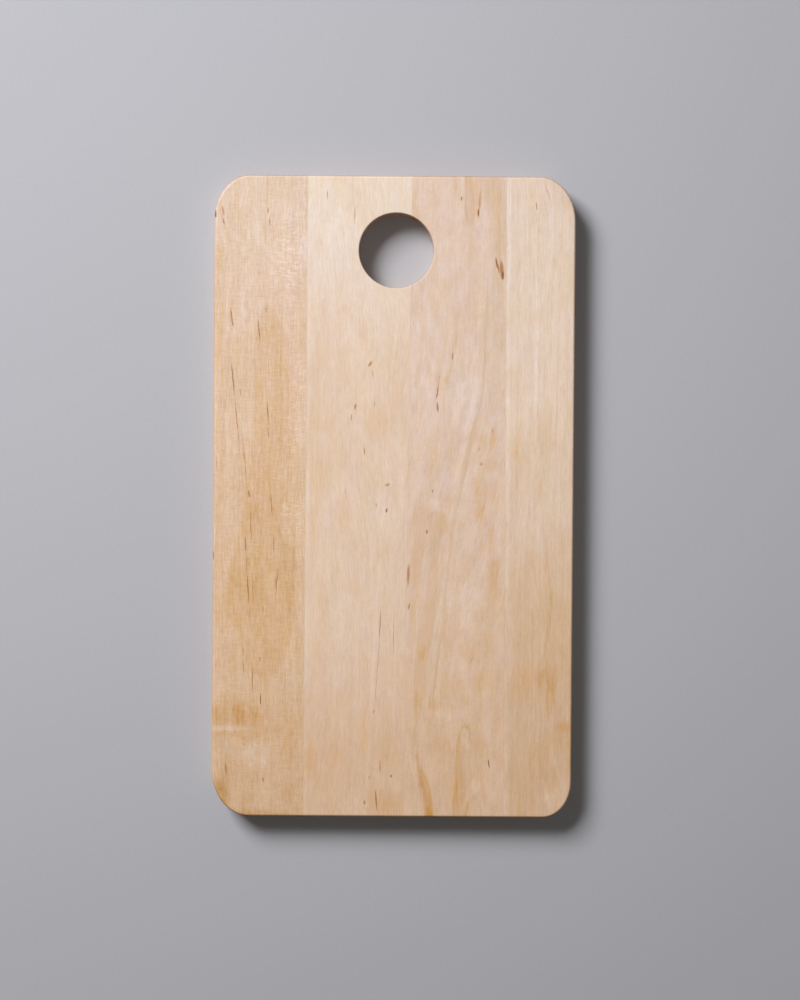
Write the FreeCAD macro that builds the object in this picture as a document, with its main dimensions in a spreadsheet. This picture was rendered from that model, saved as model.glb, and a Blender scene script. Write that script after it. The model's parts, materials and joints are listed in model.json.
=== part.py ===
"""Edge-glued wooden cutting board with a finger hole.

Four staves and the three cured glue films between them, each a solid of its own.
The board lies flat: +Z is up, +Y runs along the grain to the end with the finger hole (the head),
and +X runs across the staves. The origin is the centre of the underside. Millimetres.

The model follows the workshop: the whole panel is cut to its outline, bored and softened first,
then each stave and each glue film is the stretch of that panel which its own strip covers.
"""
import FreeCAD, Part

import math
import os

import Sketcher

SIZES = {
    "board_length": 400.0,
    "board_width": 225.0,
    "board_thickness": 18.0,
    "hole_diameter": 46.5,
    "hole_to_head": 46.4,
    "hole_offset": 0.9,
    "head_left_radius": 20.0,
    "head_right_radius": 20.0,
    "foot_left_radius": 20.7,
    "foot_right_radius": 16.0,
    "ease_ratio": 1.7,
    "ease_angle": 35.0,
    "outline_round": 1.5,
    "rim_round": 0.8,
    "glue_thickness": 0.1,
    "left_joint_head": -54.4,
    "left_joint_foot": -55.2,
    "centre_joint_head": 10.4,
    "centre_joint_foot": 7.6,
    "right_joint_head": 69.2,
    "right_joint_foot": 69.9,
}

STAVES = ("left_edge_stave", "left_centre_stave", "right_centre_stave", "right_edge_stave")
GLUE_LINES = ("left_glue_line", "centre_glue_line", "right_glue_line")
JOINTS = ("left_joint", "centre_joint", "right_joint")

# Each corner: its name, the side it is on (x), the end it is on (y), and its first arc's start angle.
CORNERS = (
    ("head_right", 1, 1, 0.0),
    ("head_left", -1, 1, 90.0),
    ("foot_left", -1, -1, 180.0),
    ("foot_right", 1, -1, 270.0),
)

Z_AXIS = FreeCAD.Vector(0, 0, 1)
START, END, CENTRE = 1, 2, 3
ORIGIN = (-1, 1)
TOLERANCE = 1e-6

doc = FreeCAD.newDocument("cutting_board")


def make_sheet():
    """The driving dimensions, one alias to a row."""
    sheet = doc.addObject("Spreadsheet::Sheet", "sizes")
    for row, (alias, value) in enumerate(SIZES.items(), start=1):
        sheet.set(f"A{row}", alias)
        sheet.set(f"B{row}", str(value))
        sheet.setAlias(f"B{row}", alias)
    doc.recompute()
    return sheet


def base_plane(body, role):
    """The body's own origin plane with this role."""
    for feature in body.Origin.OriginFeatures:
        if feature.Role == role:
            return feature
    raise ValueError(f"{body.Label} has no {role}")


def new_sketch(body, name):
    """A sketch on the body's own XY plane."""
    sketch = body.newObject("Sketcher::SketchObject", name)
    sketch.AttachmentSupport = [(base_plane(body, "XY_Plane"), "")]
    sketch.MapMode = "FlatFace"
    return sketch


def bind(sketch, name, constraint, formula):
    """Add a named constraint whose value comes from the sheet."""
    index = sketch.addConstraint(constraint)
    sketch.renameConstraint(index, name)
    sketch.setExpression(f"Constraints.{name}", formula)


def place_point(sketch, name, point, at, formula_x, formula_y):
    """Hold one point of a sketch at the x and y that two formulas give."""
    bind(sketch, f"{name}_x", Sketcher.Constraint("DistanceX", *ORIGIN, *point, at.x), formula_x)
    bind(sketch, f"{name}_y", Sketcher.Constraint("DistanceY", *ORIGIN, *point, at.y), formula_y)


def corner_arcs(name, side, end, start_angle):
    """The two arcs of one corner, counter-clockwise: a tight one, and one that eases into the side.

    A corner comes after a side where side and end agree, so its easing arc is then the first one.
    """
    ease = math.radians(SIZES["ease_angle"])
    tight = SIZES[f"{name}_radius"]
    wide = tight * SIZES["ease_ratio"]
    across = wide * (1 - math.cos(ease)) + tight * math.cos(ease)
    tight_centre = FreeCAD.Vector(
        side * (SIZES["board_width"] / 2 - across), end * (SIZES["board_length"] / 2 - tight), 0
    )
    wide_centre = FreeCAD.Vector(
        side * (SIZES["board_width"] / 2 - wide),
        tight_centre.y + end * (tight - wide) * math.sin(ease),
        0,
    )
    start = math.radians(start_angle)
    stop = start + math.pi / 2
    tight_circle = Part.Circle(tight_centre, Z_AXIS, tight)
    wide_circle = Part.Circle(wide_centre, Z_AXIS, wide)
    if side == end:
        return [
            ("ease", Part.ArcOfCircle(wide_circle, start, start + ease)),
            ("tight", Part.ArcOfCircle(tight_circle, start + ease, stop)),
        ]
    return [
        ("tight", Part.ArcOfCircle(tight_circle, start, stop - ease)),
        ("ease", Part.ArcOfCircle(wide_circle, stop - ease, stop)),
    ]


def draw_outline(sketch):
    """The board's outline: four straight edges and four corners of two tangent arcs each."""
    loop = []
    arcs = {}
    for name, side, end, start_angle in CORNERS:
        for kind, arc in corner_arcs(name, side, end, start_angle):
            index = sketch.addGeometry(arc)
            arcs[name, kind] = index
            loop.append((index, arc))
    edges = {}
    pairs = {"head": (1, 2), "left": (3, 4), "foot": (5, 6), "right": (7, 0)}
    for name, (before, after) in pairs.items():
        line = Part.LineSegment(loop[before][1].EndPoint, loop[after][1].StartPoint)
        edges[name] = sketch.addGeometry(line)
    for name, (before, after) in pairs.items():
        line = edges[name]
        sketch.addConstraint(
            [
                Sketcher.Constraint("Tangent", loop[before][0], END, line, START),
                Sketcher.Constraint("Tangent", line, END, loop[after][0], START),
                Sketcher.Constraint("Horizontal" if name in ("head", "foot") else "Vertical", line),
            ]
        )
    for first in (0, 2, 4, 6):
        sketch.addConstraint(
            Sketcher.Constraint("Tangent", loop[first][0], END, loop[first + 1][0], START)
        )
    half_width = SIZES["board_width"] / 2
    half_length = SIZES["board_length"] / 2
    walls = (
        ("right", "DistanceX", half_width, "sizes.board_width / 2"),
        ("left", "DistanceX", -half_width, "-sizes.board_width / 2"),
        ("head", "DistanceY", half_length, "sizes.board_length / 2"),
        ("foot", "DistanceY", -half_length, "-sizes.board_length / 2"),
    )
    for name, kind, value, formula in walls:
        wall = Sketcher.Constraint(kind, *ORIGIN, edges[name], START, value)
        bind(sketch, f"{name}_edge", wall, formula)
    for name, side, end, _ in CORNERS:
        tight, ease = arcs[name, "tight"], arcs[name, "ease"]
        radius = SIZES[f"{name}_radius"]
        bind(
            sketch,
            f"{name}_tight",
            Sketcher.Constraint("Radius", tight, radius),
            f"sizes.{name}_radius",
        )
        bind(
            sketch,
            f"{name}_ease",
            Sketcher.Constraint("Radius", ease, radius * SIZES["ease_ratio"]),
            f"sizes.{name}_radius * sizes.ease_ratio",
        )
        bind(
            sketch,
            f"{name}_turn",
            Sketcher.Constraint("Angle", ease, math.radians(SIZES["ease_angle"])),
            "sizes.ease_angle * 1 deg",
        )


def level_edges(shape, round_only):
    """The names of the edges that lie level: the hole's rims, or all the others."""
    names = []
    for number, edge in enumerate(shape.Edges, start=1):
        if edge.BoundBox.ZLength > TOLERANCE:
            continue
        is_rim = len(edge.Vertexes) == 1
        if is_rim == round_only:
            names.append(f"Edge{number}")
    return names


def add_fillet(body, name, base, round_only, alias):
    """Round one group of level edges of the body by a radius from the sheet."""
    fillet = body.newObject("PartDesign::Fillet", name)
    fillet.Base = (base, level_edges(base.Shape, round_only))
    fillet.setExpression("Radius", f"sizes.{alias}")
    doc.recompute()
    return fillet


def make_panel():
    """The whole glued-up panel, cut to outline, bored and softened, before it is told apart."""
    body = doc.addObject("PartDesign::Body", "panel")

    outline = new_sketch(body, "panel_outline")
    draw_outline(outline)
    slab = body.newObject("PartDesign::Pad", "panel_slab")
    slab.Profile = outline
    slab.setExpression("Length", "sizes.board_thickness")
    doc.recompute()

    bore_sketch = new_sketch(body, "hole_circle")
    centre = FreeCAD.Vector(SIZES["hole_offset"], SIZES["board_length"] / 2 - SIZES["hole_to_head"], 0)
    circle = bore_sketch.addGeometry(Part.Circle(centre, Z_AXIS, SIZES["hole_diameter"] / 2))
    bind(
        bore_sketch,
        "diameter",
        Sketcher.Constraint("Diameter", circle, SIZES["hole_diameter"]),
        "sizes.hole_diameter",
    )
    place_point(
        bore_sketch,
        "centre",
        (circle, CENTRE),
        centre,
        "sizes.hole_offset",
        "sizes.board_length / 2 - sizes.hole_to_head",
    )
    hole = body.newObject("PartDesign::Pocket", "finger_hole")
    hole.Profile = bore_sketch
    hole.Type = "ThroughAll"
    hole.Reversed = True
    doc.recompute()

    bored = math.pi * (SIZES["hole_diameter"] / 2) ** 2 * SIZES["board_thickness"]
    removed = slab.Shape.Volume - hole.Shape.Volume
    if abs(removed - bored) > 1.0:
        raise RuntimeError(f"the hole removed {removed:.1f} mm3, not {bored:.1f} mm3")

    softened = add_fillet(body, "outline_softening", hole, False, "outline_round")
    add_fillet(body, "rim_softening", softened, True, "rim_round")
    return body


def joint_side(joint, end, film_side):
    """The x of one face of a joint's glue film at the head or foot, as a number and as a formula."""
    value = SIZES[f"{joint}_{end}"] + film_side * SIZES["glue_thickness"] / 2
    sign = "+" if film_side > 0 else "-"
    return value, f"sizes.{joint}_{end} {sign} sizes.glue_thickness / 2"


def board_side(side):
    """The x of the board's own left or right side, as a number and as a formula."""
    return side * SIZES["board_width"] / 2, f"{side} * sizes.board_width / 2"


def make_strip(name, left, right):
    """A four-sided strip, as thick as the board, between two lines that run from head to foot.

    left and right each give (value, formula) for the line's x at the head and at the foot.
    """
    body = doc.addObject("PartDesign::Body", f"{name}_strip")
    sketch = new_sketch(body, f"{name}_outline")
    half = SIZES["board_length"] / 2
    half_formula = "sizes.board_length / 2"
    corners = (
        ("head_left", left["head"], half, half_formula),
        ("foot_left", left["foot"], -half, f"-{half_formula}"),
        ("foot_right", right["foot"], -half, f"-{half_formula}"),
        ("head_right", right["head"], half, half_formula),
    )
    points = [FreeCAD.Vector(x[0], y, 0) for _, x, y, _ in corners]
    for index in range(4):
        sketch.addGeometry(Part.LineSegment(points[index], points[(index + 1) % 4]))
    for index in range(4):
        sketch.addConstraint(Sketcher.Constraint("Coincident", index, END, (index + 1) % 4, START))
    for index, (corner, x, _, formula_y) in enumerate(corners):
        place_point(sketch, corner, (index, START), points[index], x[1], formula_y)
    pad = body.newObject("PartDesign::Pad", f"{name}_pad")
    pad.Profile = sketch
    pad.setExpression("Length", "sizes.board_thickness")
    return body


def make_piece(name, panel, left, right):
    """One stave or glue film: the stretch of the panel that its strip covers."""
    piece = doc.addObject("Part::Common", name)
    piece.Label = name
    piece.Base = panel
    piece.Tool = make_strip(name, left, right)
    piece.Placement = FreeCAD.Placement()
    return piece


def make_pieces(panel):
    """All staves and glue films, from left to right."""
    ends = ("head", "foot")
    pieces = []
    for index, name in enumerate(STAVES):
        if index == 0:
            left = {end: board_side(-1) for end in ends}
        else:
            left = {end: joint_side(JOINTS[index - 1], end, 1) for end in ends}
        if index == len(JOINTS):
            right = {end: board_side(1) for end in ends}
        else:
            right = {end: joint_side(JOINTS[index], end, -1) for end in ends}
        pieces.append(make_piece(name, panel, left, right))
    for name, joint in zip(GLUE_LINES, JOINTS):
        left = {end: joint_side(joint, end, -1) for end in ends}
        right = {end: joint_side(joint, end, 1) for end in ends}
        pieces.append(make_piece(name, panel, left, right))
    return pieces


def check(panel, pieces):
    """Stop on a failed object, a bad shape, or pieces that don't add up to the panel."""
    for item in doc.Objects:
        if "Invalid" in item.State or "Error" in item.State:
            raise RuntimeError(f"{item.Label} failed: {item.State}")
    for piece in pieces:
        if piece.Shape.isNull() or not piece.Shape.isValid():
            raise RuntimeError(f"{piece.Label} has no valid shape")
    solids = [len(piece.Shape.Solids) for piece in pieces]
    if solids != [1, 1, 1, 1, 1, 2, 1]:
        raise RuntimeError(f"the pieces hold {solids} solids")
    total = sum(piece.Shape.Volume for piece in pieces)
    if abs(total - panel.Shape.Volume) > 1.0:
        raise RuntimeError(f"the pieces hold {total:.1f} mm3 of {panel.Shape.Volume:.1f} mm3")


def main():
    """Build the document and write one STEP file for each piece."""
    make_sheet()
    panel = make_panel()
    pieces = make_pieces(panel)
    doc.recompute()
    check(panel, pieces)
    os.makedirs("parts", exist_ok=True)
    for piece in pieces:
        piece.Shape.exportStep(f"parts/{piece.Label}.step")
        box = piece.Shape.BoundBox
        print(f"{piece.Label}: {box.XLength:.2f} x {box.YLength:.2f} x {box.ZLength:.2f} mm")


main()
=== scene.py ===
"""Edge-glued wooden cutting board: its four staves, its glue lines and a studio to see it in.

Laid out as an add-on, and run as a script. Lengths are metres where bpy is given them; the wood's
pattern is written in millimetres, as is each place on a stave: across from the board's middle line,
and up from the foot end towards the end with the finger hole, the head.
"""

import json
import math
from collections import namedtuple

import bmesh
import bpy
from bpy.props import FloatProperty, FloatVectorProperty, PointerProperty
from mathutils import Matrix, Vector


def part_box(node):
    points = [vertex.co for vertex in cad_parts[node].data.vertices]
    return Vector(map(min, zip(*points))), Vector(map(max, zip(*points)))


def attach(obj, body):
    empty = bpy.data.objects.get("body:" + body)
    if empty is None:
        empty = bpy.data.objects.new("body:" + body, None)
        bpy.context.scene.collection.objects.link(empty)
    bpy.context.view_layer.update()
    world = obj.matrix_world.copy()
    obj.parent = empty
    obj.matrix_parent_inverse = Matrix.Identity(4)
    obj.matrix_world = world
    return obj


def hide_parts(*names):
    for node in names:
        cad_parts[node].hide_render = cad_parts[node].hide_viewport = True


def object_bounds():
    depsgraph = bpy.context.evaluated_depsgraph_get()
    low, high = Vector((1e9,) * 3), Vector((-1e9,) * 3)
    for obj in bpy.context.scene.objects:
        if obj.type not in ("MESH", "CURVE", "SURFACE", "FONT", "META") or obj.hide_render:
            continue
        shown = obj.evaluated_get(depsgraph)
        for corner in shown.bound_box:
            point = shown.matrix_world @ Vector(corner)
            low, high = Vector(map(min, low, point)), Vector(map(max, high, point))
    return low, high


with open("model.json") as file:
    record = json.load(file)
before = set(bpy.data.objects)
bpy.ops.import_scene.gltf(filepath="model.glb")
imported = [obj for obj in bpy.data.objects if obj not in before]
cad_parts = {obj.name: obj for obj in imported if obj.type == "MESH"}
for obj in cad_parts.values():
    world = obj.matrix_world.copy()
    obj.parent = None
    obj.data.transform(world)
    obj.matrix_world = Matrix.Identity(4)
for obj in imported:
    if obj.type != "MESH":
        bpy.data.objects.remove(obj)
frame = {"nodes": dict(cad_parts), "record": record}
cad_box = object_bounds()

bl_info = {
    "name": "Cutting board",
    "version": (1, 0, 0),
    "blender": (4, 5, 0),
    "location": "3D View > Sidebar > Board",
    "description": "Builds an edge-glued cutting board from its staves and lights it",
    "category": "Add Mesh",
}

MM = 0.001
LOW, HIGH = cad_box
CENTRE = (LOW + HIGH) / 2
EXTENT = HIGH - LOW
LENGTH_MM = EXTENT.y / MM
THICKNESS_MM = EXTENT.z / MM
TINY = 1e-5
GLUE_THICKNESS = 0.1 * MM

HOLE = next(mount for mount in frame["record"]["mounts"] if mount["kind"] == "bore")
HOLE_AXIS = Vector(HOLE["pos_m"]).xy
HOLE_RADIUS = HOLE["dims"]["r_mm"] * MM

# Each corner: its size's name, the side it is on (x) and the end it is on (y).
CORNERS = (
    ("head_left", -1, 1),
    ("head_right", 1, 1),
    ("foot_left", -1, -1),
    ("foot_right", 1, -1),
)
# How far a corner's curve runs across the board and along it, for a corner of size 1.
CORNER_ACROSS = 1.127
CORNER_ALONG = 1.402

# How finely the curves are divided, and the angle under which two faces are shaded as one.
CORNER_SEGMENTS = 20
OUTLINE_SEGMENTS = 6
RIM_SEGMENTS = 4
HOLE_SIDES = 120
SMOOTH_ANGLE = math.radians(35.0)

# The side of the square floor, in metres.
FLOOR_SIDE = 12.0

# The glue lines from left to right, and whether each leans right (1) or left (-1) towards the head.
GLUE_LINES = (("left_glue_line", 1), ("centre_glue_line", 1), ("right_glue_line", -1))
STAVES = ("left_edge_stave", "left_centre_stave", "right_centre_stave", "right_edge_stave")


# ---- Sizes and colours -----------------------------------------------------


def length(name, description, default):
    """A property that holds a length in metres."""
    return FloatProperty(
        name=name, description=description, default=default, min=0.0, unit="LENGTH", precision=4
    )


def colour(name, description, default):
    """A property that holds a colour."""
    return FloatVectorProperty(
        name=name, description=description, default=default, size=3, min=0.0, max=1.0, subtype="COLOR"
    )


def power(name, description, default):
    """A property that holds a lamp's power in watts."""
    return FloatProperty(name=name, description=description, default=default, min=0.0, unit="POWER")


def position(name, description, default):
    """A property that holds a place in metres."""
    return FloatVectorProperty(
        name=name, description=description, default=default, subtype="TRANSLATION"
    )


class BoardSizes(bpy.types.PropertyGroup):
    """Sizes of the softened edges and corners."""

    head_left: length("Head left corner", "Radius of the corner's tight part", 20.0 * MM)
    head_right: length("Head right corner", "Radius of the corner's tight part", 20.0 * MM)
    foot_left: length("Foot left corner", "Radius of the corner's tight part", 20.7 * MM)
    foot_right: length("Foot right corner", "Radius of the corner's tight part", 16.0 * MM)
    outline_round: length("Outline rounding", "Radius along the top and bottom outline", 1.5 * MM)
    rim_round: length("Rim rounding", "Radius round both rims of the finger hole", 0.8 * MM)


class WoodColours(bpy.types.PropertyGroup):
    """Each stave's colour at four places along its length, and the colours of marks in the wood."""

    honey_head: colour("Honey head", "Left edge stave at the head", (0.693, 0.526, 0.409))
    honey_upper: colour("Honey upper", "Left edge stave above the middle", (0.690, 0.487, 0.342))
    honey_lower: colour("Honey lower", "Left edge stave below the middle", (0.689, 0.471, 0.302))
    honey_foot: colour("Honey foot", "Left edge stave at the foot", (0.661, 0.436, 0.272))
    cream_head: colour("Cream head", "Left centre stave at the head", (0.765, 0.621, 0.516))
    cream_upper: colour("Cream upper", "Left centre stave above the middle", (0.738, 0.560, 0.435))
    cream_lower: colour("Cream lower", "Left centre stave below the middle", (0.737, 0.548, 0.413))
    cream_foot: colour("Cream foot", "Left centre stave at the foot", (0.700, 0.476, 0.319))
    rose_head: colour("Rose head", "Right centre stave at the head", (0.703, 0.526, 0.417))
    rose_upper: colour("Rose upper", "Right centre stave above the middle", (0.723, 0.545, 0.435))
    rose_lower: colour("Rose lower", "Right centre stave below the middle", (0.713, 0.511, 0.376))
    rose_foot: colour("Rose foot", "Right centre stave at the foot", (0.702, 0.479, 0.325))
    pale_head: colour("Pale head", "Right edge stave at the head", (0.746, 0.588, 0.481))
    pale_upper: colour("Pale upper", "Right edge stave above the middle", (0.764, 0.594, 0.478))
    pale_lower: colour("Pale lower", "Right edge stave below the middle", (0.689, 0.486, 0.334))
    pale_foot: colour("Pale foot", "Right edge stave at the foot", (0.679, 0.465, 0.308))
    dark_fleck: colour("Dark fleck", "Pith flecks and pin knots", (0.24, 0.115, 0.050))
    amber_fleck: colour("Amber fleck", "Rusty flecks and gum spots", (0.46, 0.205, 0.060))
    glue: colour("Glue", "The cured glue between two staves", (0.66, 0.49, 0.34))


class StageSettings(bpy.types.PropertyGroup):
    """The floor, the lamps and the camera."""

    floor: colour("Floor", "The plain surface that the board lies on", (0.443, 0.445, 0.480))
    fill: colour("Fill", "Light that comes from all round", (0.105, 0.100, 0.086))
    lamp_power: power("Lamp power", "Power of the soft lamp", 79.0)
    lamp_size: length("Lamp size", "Side of the soft lamp's square", 1.02)
    lamp_place: position("Lamp place", "Centre of the soft lamp", (-1.25, 1.37, 1.62))
    side_power: power("Side lamp power", "Power of the dim lamp to the right", 1.6)
    side_size: length("Side lamp size", "Side of the dim lamp's square", 1.6)
    side_place: position("Side lamp place", "Centre of the dim lamp to the right", (2.2, 0.3, 0.9))
    top_power: power("Top lamp power", "Power of the lamp overhead", 10.0)
    top_radius: length("Top lamp radius", "Radius of the lamp overhead", 0.15)
    top_place: position("Top lamp place", "Where the lamp overhead hangs", (0.0, 0.03, 2.0))
    top_angle: FloatProperty(
        name="Top lamp angle",
        description="How wide the overhead lamp's light opens",
        default=math.radians(24.0),
        min=0.01,
        subtype="ANGLE",
    )
    camera_place: position(
        "Camera place", "Where the camera hangs over the board", (-0.0018, 0.0307, 1.568)
    )
    camera_turn: FloatVectorProperty(
        name="Camera turn",
        description="How far the camera is off plumb, and turned",
        default=tuple(math.radians(angle) for angle in (-1.2, -0.21, 0.39)),
        subtype="EULER",
    )
    camera_lens: FloatProperty(
        name="Lens", description="Focal length", default=89.5, min=1.0, unit="CAMERA"
    )


# ---- Shader writing --------------------------------------------------------


# A kind of noise: how wide and how long its grains are in millimetres, a number that sets it apart
# from the others, how many finer layers it has and how strong those are.
Noise = namedtuple("Noise", "wide long seed detail roughness")
# How far a noise moves in its own space for each 1 of its number.
NOISE_STEPS = (3.7, 5.3, 7.9)


class Value:
    """A number that a node works out. Python's operators on it add Math nodes."""

    def __init__(self, finish, socket):
        self.finish = finish
        self.socket = socket

    def math(self, operation, *operands):
        """Add a Math node on these operands."""
        inputs = dict(enumerate(operands))
        node = self.finish.node("ShaderNodeMath", {"operation": operation}, inputs)
        return Value(self.finish, node.outputs[0])

    def __add__(self, other):
        return self.math("ADD", self, other)

    def __sub__(self, other):
        return self.math("SUBTRACT", self, other)

    def __rsub__(self, other):
        return self.math("SUBTRACT", other, self)

    def __mul__(self, other):
        return self.math("MULTIPLY", self, other)

    def __truediv__(self, other):
        return self.math("DIVIDE", self, other)

    def __abs__(self):
        return self.math("ABSOLUTE", self)

    __radd__ = __add__
    __rmul__ = __mul__

    def highest(self, other):
        """The larger of two numbers."""
        return self.math("MAXIMUM", self, other)

    def root(self):
        """The square root."""
        return self.math("SQRT", self)

    def fraction(self):
        """What is left above the whole number."""
        return self.math("FRACT", self)

    def ease(self, start, end, low=0.0, high=1.0):
        """low at start, high at end, and a smooth run between them."""
        limits = {"Value": self, "From Min": start, "From Max": end, "To Min": low, "To Max": high}
        node = self.finish.node("ShaderNodeMapRange", {"interpolation_type": "SMOOTHSTEP"}, limits)
        return Value(self.finish, node.outputs[0])


class Finish:
    """A material while its nodes are being written."""

    def __init__(self, name):
        self.material = bpy.data.materials.new(name)
        self.material.use_nodes = True
        self.tree = self.material.node_tree
        self.tree.nodes.clear()
        place = self.node("ShaderNodeTexCoord").outputs["Object"]
        in_mm = self.node("ShaderNodeVectorMath", {"operation": "SCALE"}, {0: place, "Scale": 1 / MM})
        parts = self.node("ShaderNodeSeparateXYZ", inputs={0: in_mm.outputs[0]}).outputs
        self.across = Value(self, parts["X"])
        self.up = Value(self, parts["Y"]) - LOW.y / MM
        self.height = Value(self, parts["Z"])

    def node(self, kind, settings=None, inputs=None):
        """Add a node: its settings first, then the values or links of its sockets."""
        node = self.tree.nodes.new(kind)
        for name, value in (settings or {}).items():
            if name == "stops":
                set_stops(node.color_ramp, value)
            elif name == "points":
                set_points(node.mapping, value)
            else:
                setattr(node, name, value)
        for name, value in (inputs or {}).items():
            if isinstance(value, Value):
                value = value.socket
            if isinstance(value, bpy.types.NodeSocket):
                self.tree.links.new(value, node.inputs[name])
            else:
                node.inputs[name].default_value = value
        return node

    def vector(self, x, y, z):
        """A vector of three numbers."""
        return self.node("ShaderNodeCombineXYZ", inputs={0: x, 1: y, 2: z}).outputs[0]

    def noise(self, place, kind, seed=0.0):
        """Noise of one kind, from -0.5 to 0.5."""
        number = seed + kind.seed
        stretch = (1 / kind.wide, 1 / kind.long, 1 / kind.wide)
        offset = tuple(number * step for step in NOISE_STEPS)
        spot = self.node(
            "ShaderNodeVectorMath", {"operation": "MULTIPLY_ADD"}, {0: place, 1: stretch, 2: offset}
        ).outputs[0]
        inputs = {"Vector": spot, "Scale": 1.0, "Detail": kind.detail, "Roughness": kind.roughness}
        return Value(self, self.node("ShaderNodeTexNoise", inputs=inputs).outputs[0]) - 0.5

    def curve(self, along, points):
        """A smooth curve through points of (share of the length, value from 0 to 1)."""
        node = self.node("ShaderNodeFloatCurve", {"points": points}, {"Value": along})
        return Value(self, node.outputs[0])

    def mix(self, factor, first, second, blend="MIX"):
        """Two colours mixed."""
        settings = {"data_type": "RGBA", "blend_type": blend}
        return self.node("ShaderNodeMix", settings, {0: factor, 6: first, 7: second}).outputs[2]

    def tint(self, factor, base, by):
        """A colour multiplied by another, as far as the factor says."""
        return self.mix(factor, base, (*by, 1.0), "MULTIPLY")

    def finish(self, surface):
        """Give the material its surface."""
        self.node("ShaderNodeOutputMaterial", inputs={"Surface": surface})
        return self.material


def set_stops(ramp, stops):
    """Give a colour ramp these stops: pairs of place and colour."""
    while len(ramp.elements) > 1:
        ramp.elements.remove(ramp.elements[-1])
    ramp.elements[0].position = stops[0][0]
    ramp.elements[0].color = (*stops[0][1], 1.0)
    for place, tone in stops[1:]:
        ramp.elements.new(place).color = (*tone, 1.0)


def set_points(mapping, points):
    """Give a float curve these points."""
    curve = mapping.curves[0]
    curve.points[0].location = points[0]
    curve.points[1].location = points[-1]
    for point in points[1:-1]:
        curve.points.new(*point)
    for point in curve.points:
        point.handle_type = "AUTO_CLAMPED"
    mapping.update()


# ---- What is in each stave's wood ------------------------------------------

# A fleck along the grain on the top face: its lower and upper end as (across, up), its greatest
# width, and its strength. A weak fleck is rusty; a strong one has a dark core.
Fleck = namedtuple("Fleck", "low high width strength")
# A soft round patch: its middle as (across, up), its half width and half length, and how much
# darker and warmer than the wood it is, as shares. Less than nothing is paler or cooler.
Patch = namedtuple("Patch", "across up wide long dark warm")
# A soft round patch with painted glints: bright dashes across the grain, painted into the colour as
# highlights.
Glint = namedtuple("Glint", "across up wide long strength")
# A patch or streak with a shape of its own: (up, left side, right side) from the foot end to the
# head end, how soft its sides are, and how much darker and warmer it is. It fades away where its
# two sides meet.
Streak = namedtuple("Streak", "sides soft dark warm")
# A stave's own figure. pith is the growth centre as (across, below the top face); lean is how far
# the grain runs to the right for each millimetre up; dive is how fast the pith drops towards the
# head; ring is the spacing of the growth rings; wave is how far the rings wander; then how
# strongly the rings, the fibres, the mottle, the silk across the grain, and the patches and
# streaks show; deepen is how much richer the colour gets where the wood is darker.
Figure = namedtuple("Figure", "seed pith lean dive ring wave rings fibre mottle silk marks deepen")

# The kinds of noise in the wood. The first two make the grain wander.
DRIFT = Noise(34.0, 170.0, 0.0, 1.0, 0.5)
WAVER = Noise(9.0, 60.0, 0.3, 2.0, 0.5)
HAIR = Noise(0.50, 7.0, 0.5, 2.0, 0.6)
FIBRE = Noise(1.1, 34.0, 0.6, 3.0, 0.6)
STRAND = Noise(4.5, 130.0, 0.7, 3.0, 0.6)
MOTTLE = Noise(5.5, 13.0, 0.8, 5.0, 0.66)
BLOTCH = Noise(11.0, 26.0, 1.4, 4.0, 0.6)
BLUSH = Noise(6.0, 22.0, 1.0, 5.0, 0.62)
SPECK = Noise(1.6, 2.4, 1.3, 3.0, 0.7)
CLOUD = Noise(24.0, 55.0, 0.9, 3.0, 0.5)
SILK = Noise(4.5, 0.85, 1.2, 2.0, 0.6)
DASHES = Noise(3.2, 0.8, 2.4, 2.0, 0.5)
PORES = Noise(0.22, 3.5, 1.1, 1.0, 0.5)
END_PORES = Noise(0.45, 20.0, 2.9, 2.0, 0.5)
# These three make the outlines of patches, streaks and flecks uneven.
JOLT = Noise(1.6, 24.0, 1.6, 3.0, 0.6)
SWAY = Noise(4.0, 22.0, 1.7, 4.0, 0.6)
FLUTTER = Noise(1.1, 5.0, 2.1, 2.0, 0.5)
# The kinds of noise in the glue and in the floor.
GLUE_CLOUD = Noise(4.0, 12.0, 8.0, 2.0, 0.5)
FLOOR_CLOUD = Noise(2.0, 2.0, 9.0, 3.0, 0.5)

# What a base colour is multiplied by where something darkens it.
PORE_TINT = (0.80, 0.70, 0.58)
# Painted shade on the rounded edges and the sides.
SIDE_SHADE_TINT = (0.80, 0.76, 0.73)
END_PORE_TINT = (0.80, 0.72, 0.62)
END_RING_TINT = (0.84, 0.74, 0.62)
END_TINT = (0.90, 0.82, 0.72)
GLUE_TINT = (0.82, 0.76, 0.68)
FLOOR_TINT = (0.97, 0.97, 0.97)

# The marks are whole down to the first depth below the top face and gone at the second, in
# millimetres.
MARK_DEPTHS = (2.0, 5.0)
# A fleck's half width as a share of its width, and the square of how far out, in half sizes, it is
# gone.
FLECK_HALF = 0.38
FLECK_REACH = 1.6
# A fleck's rust and its dark core: how close to its middle each begins and is full, from 0 to 1,
# and how much of the wood's colour it then covers.
RUST = (0.0, 0.62, 0.78)
CORE = (0.42, 0.95, 0.85)
# A patch is gone at the first of these shares of its half size, and whole at the second.
PATCH_FADE = (1.45, 0.35)
# How far a streak's sides wander for each millimetre that they are soft.
STREAK_SWAY = 1.6

# Where along a stave its four colours sit, as shares of the length from foot to head.
TONE_PLACES = (("foot", 0.10), ("lower", 0.30), ("upper", 0.70), ("head", 0.91))
# Streak sides are kept on the float curves as shares of this span, from its low end.
SPAN_LOW = -120.0
SPAN = 240.0
# The grain leans between these two places up the board, and is straight beyond them.
LEAN_FROM = 60.0
LEAN_TO = 320.0


def rows(kind, *values):
    """Marks of one kind, from a row of values each."""
    return tuple(kind(*value) for value in values)


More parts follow.
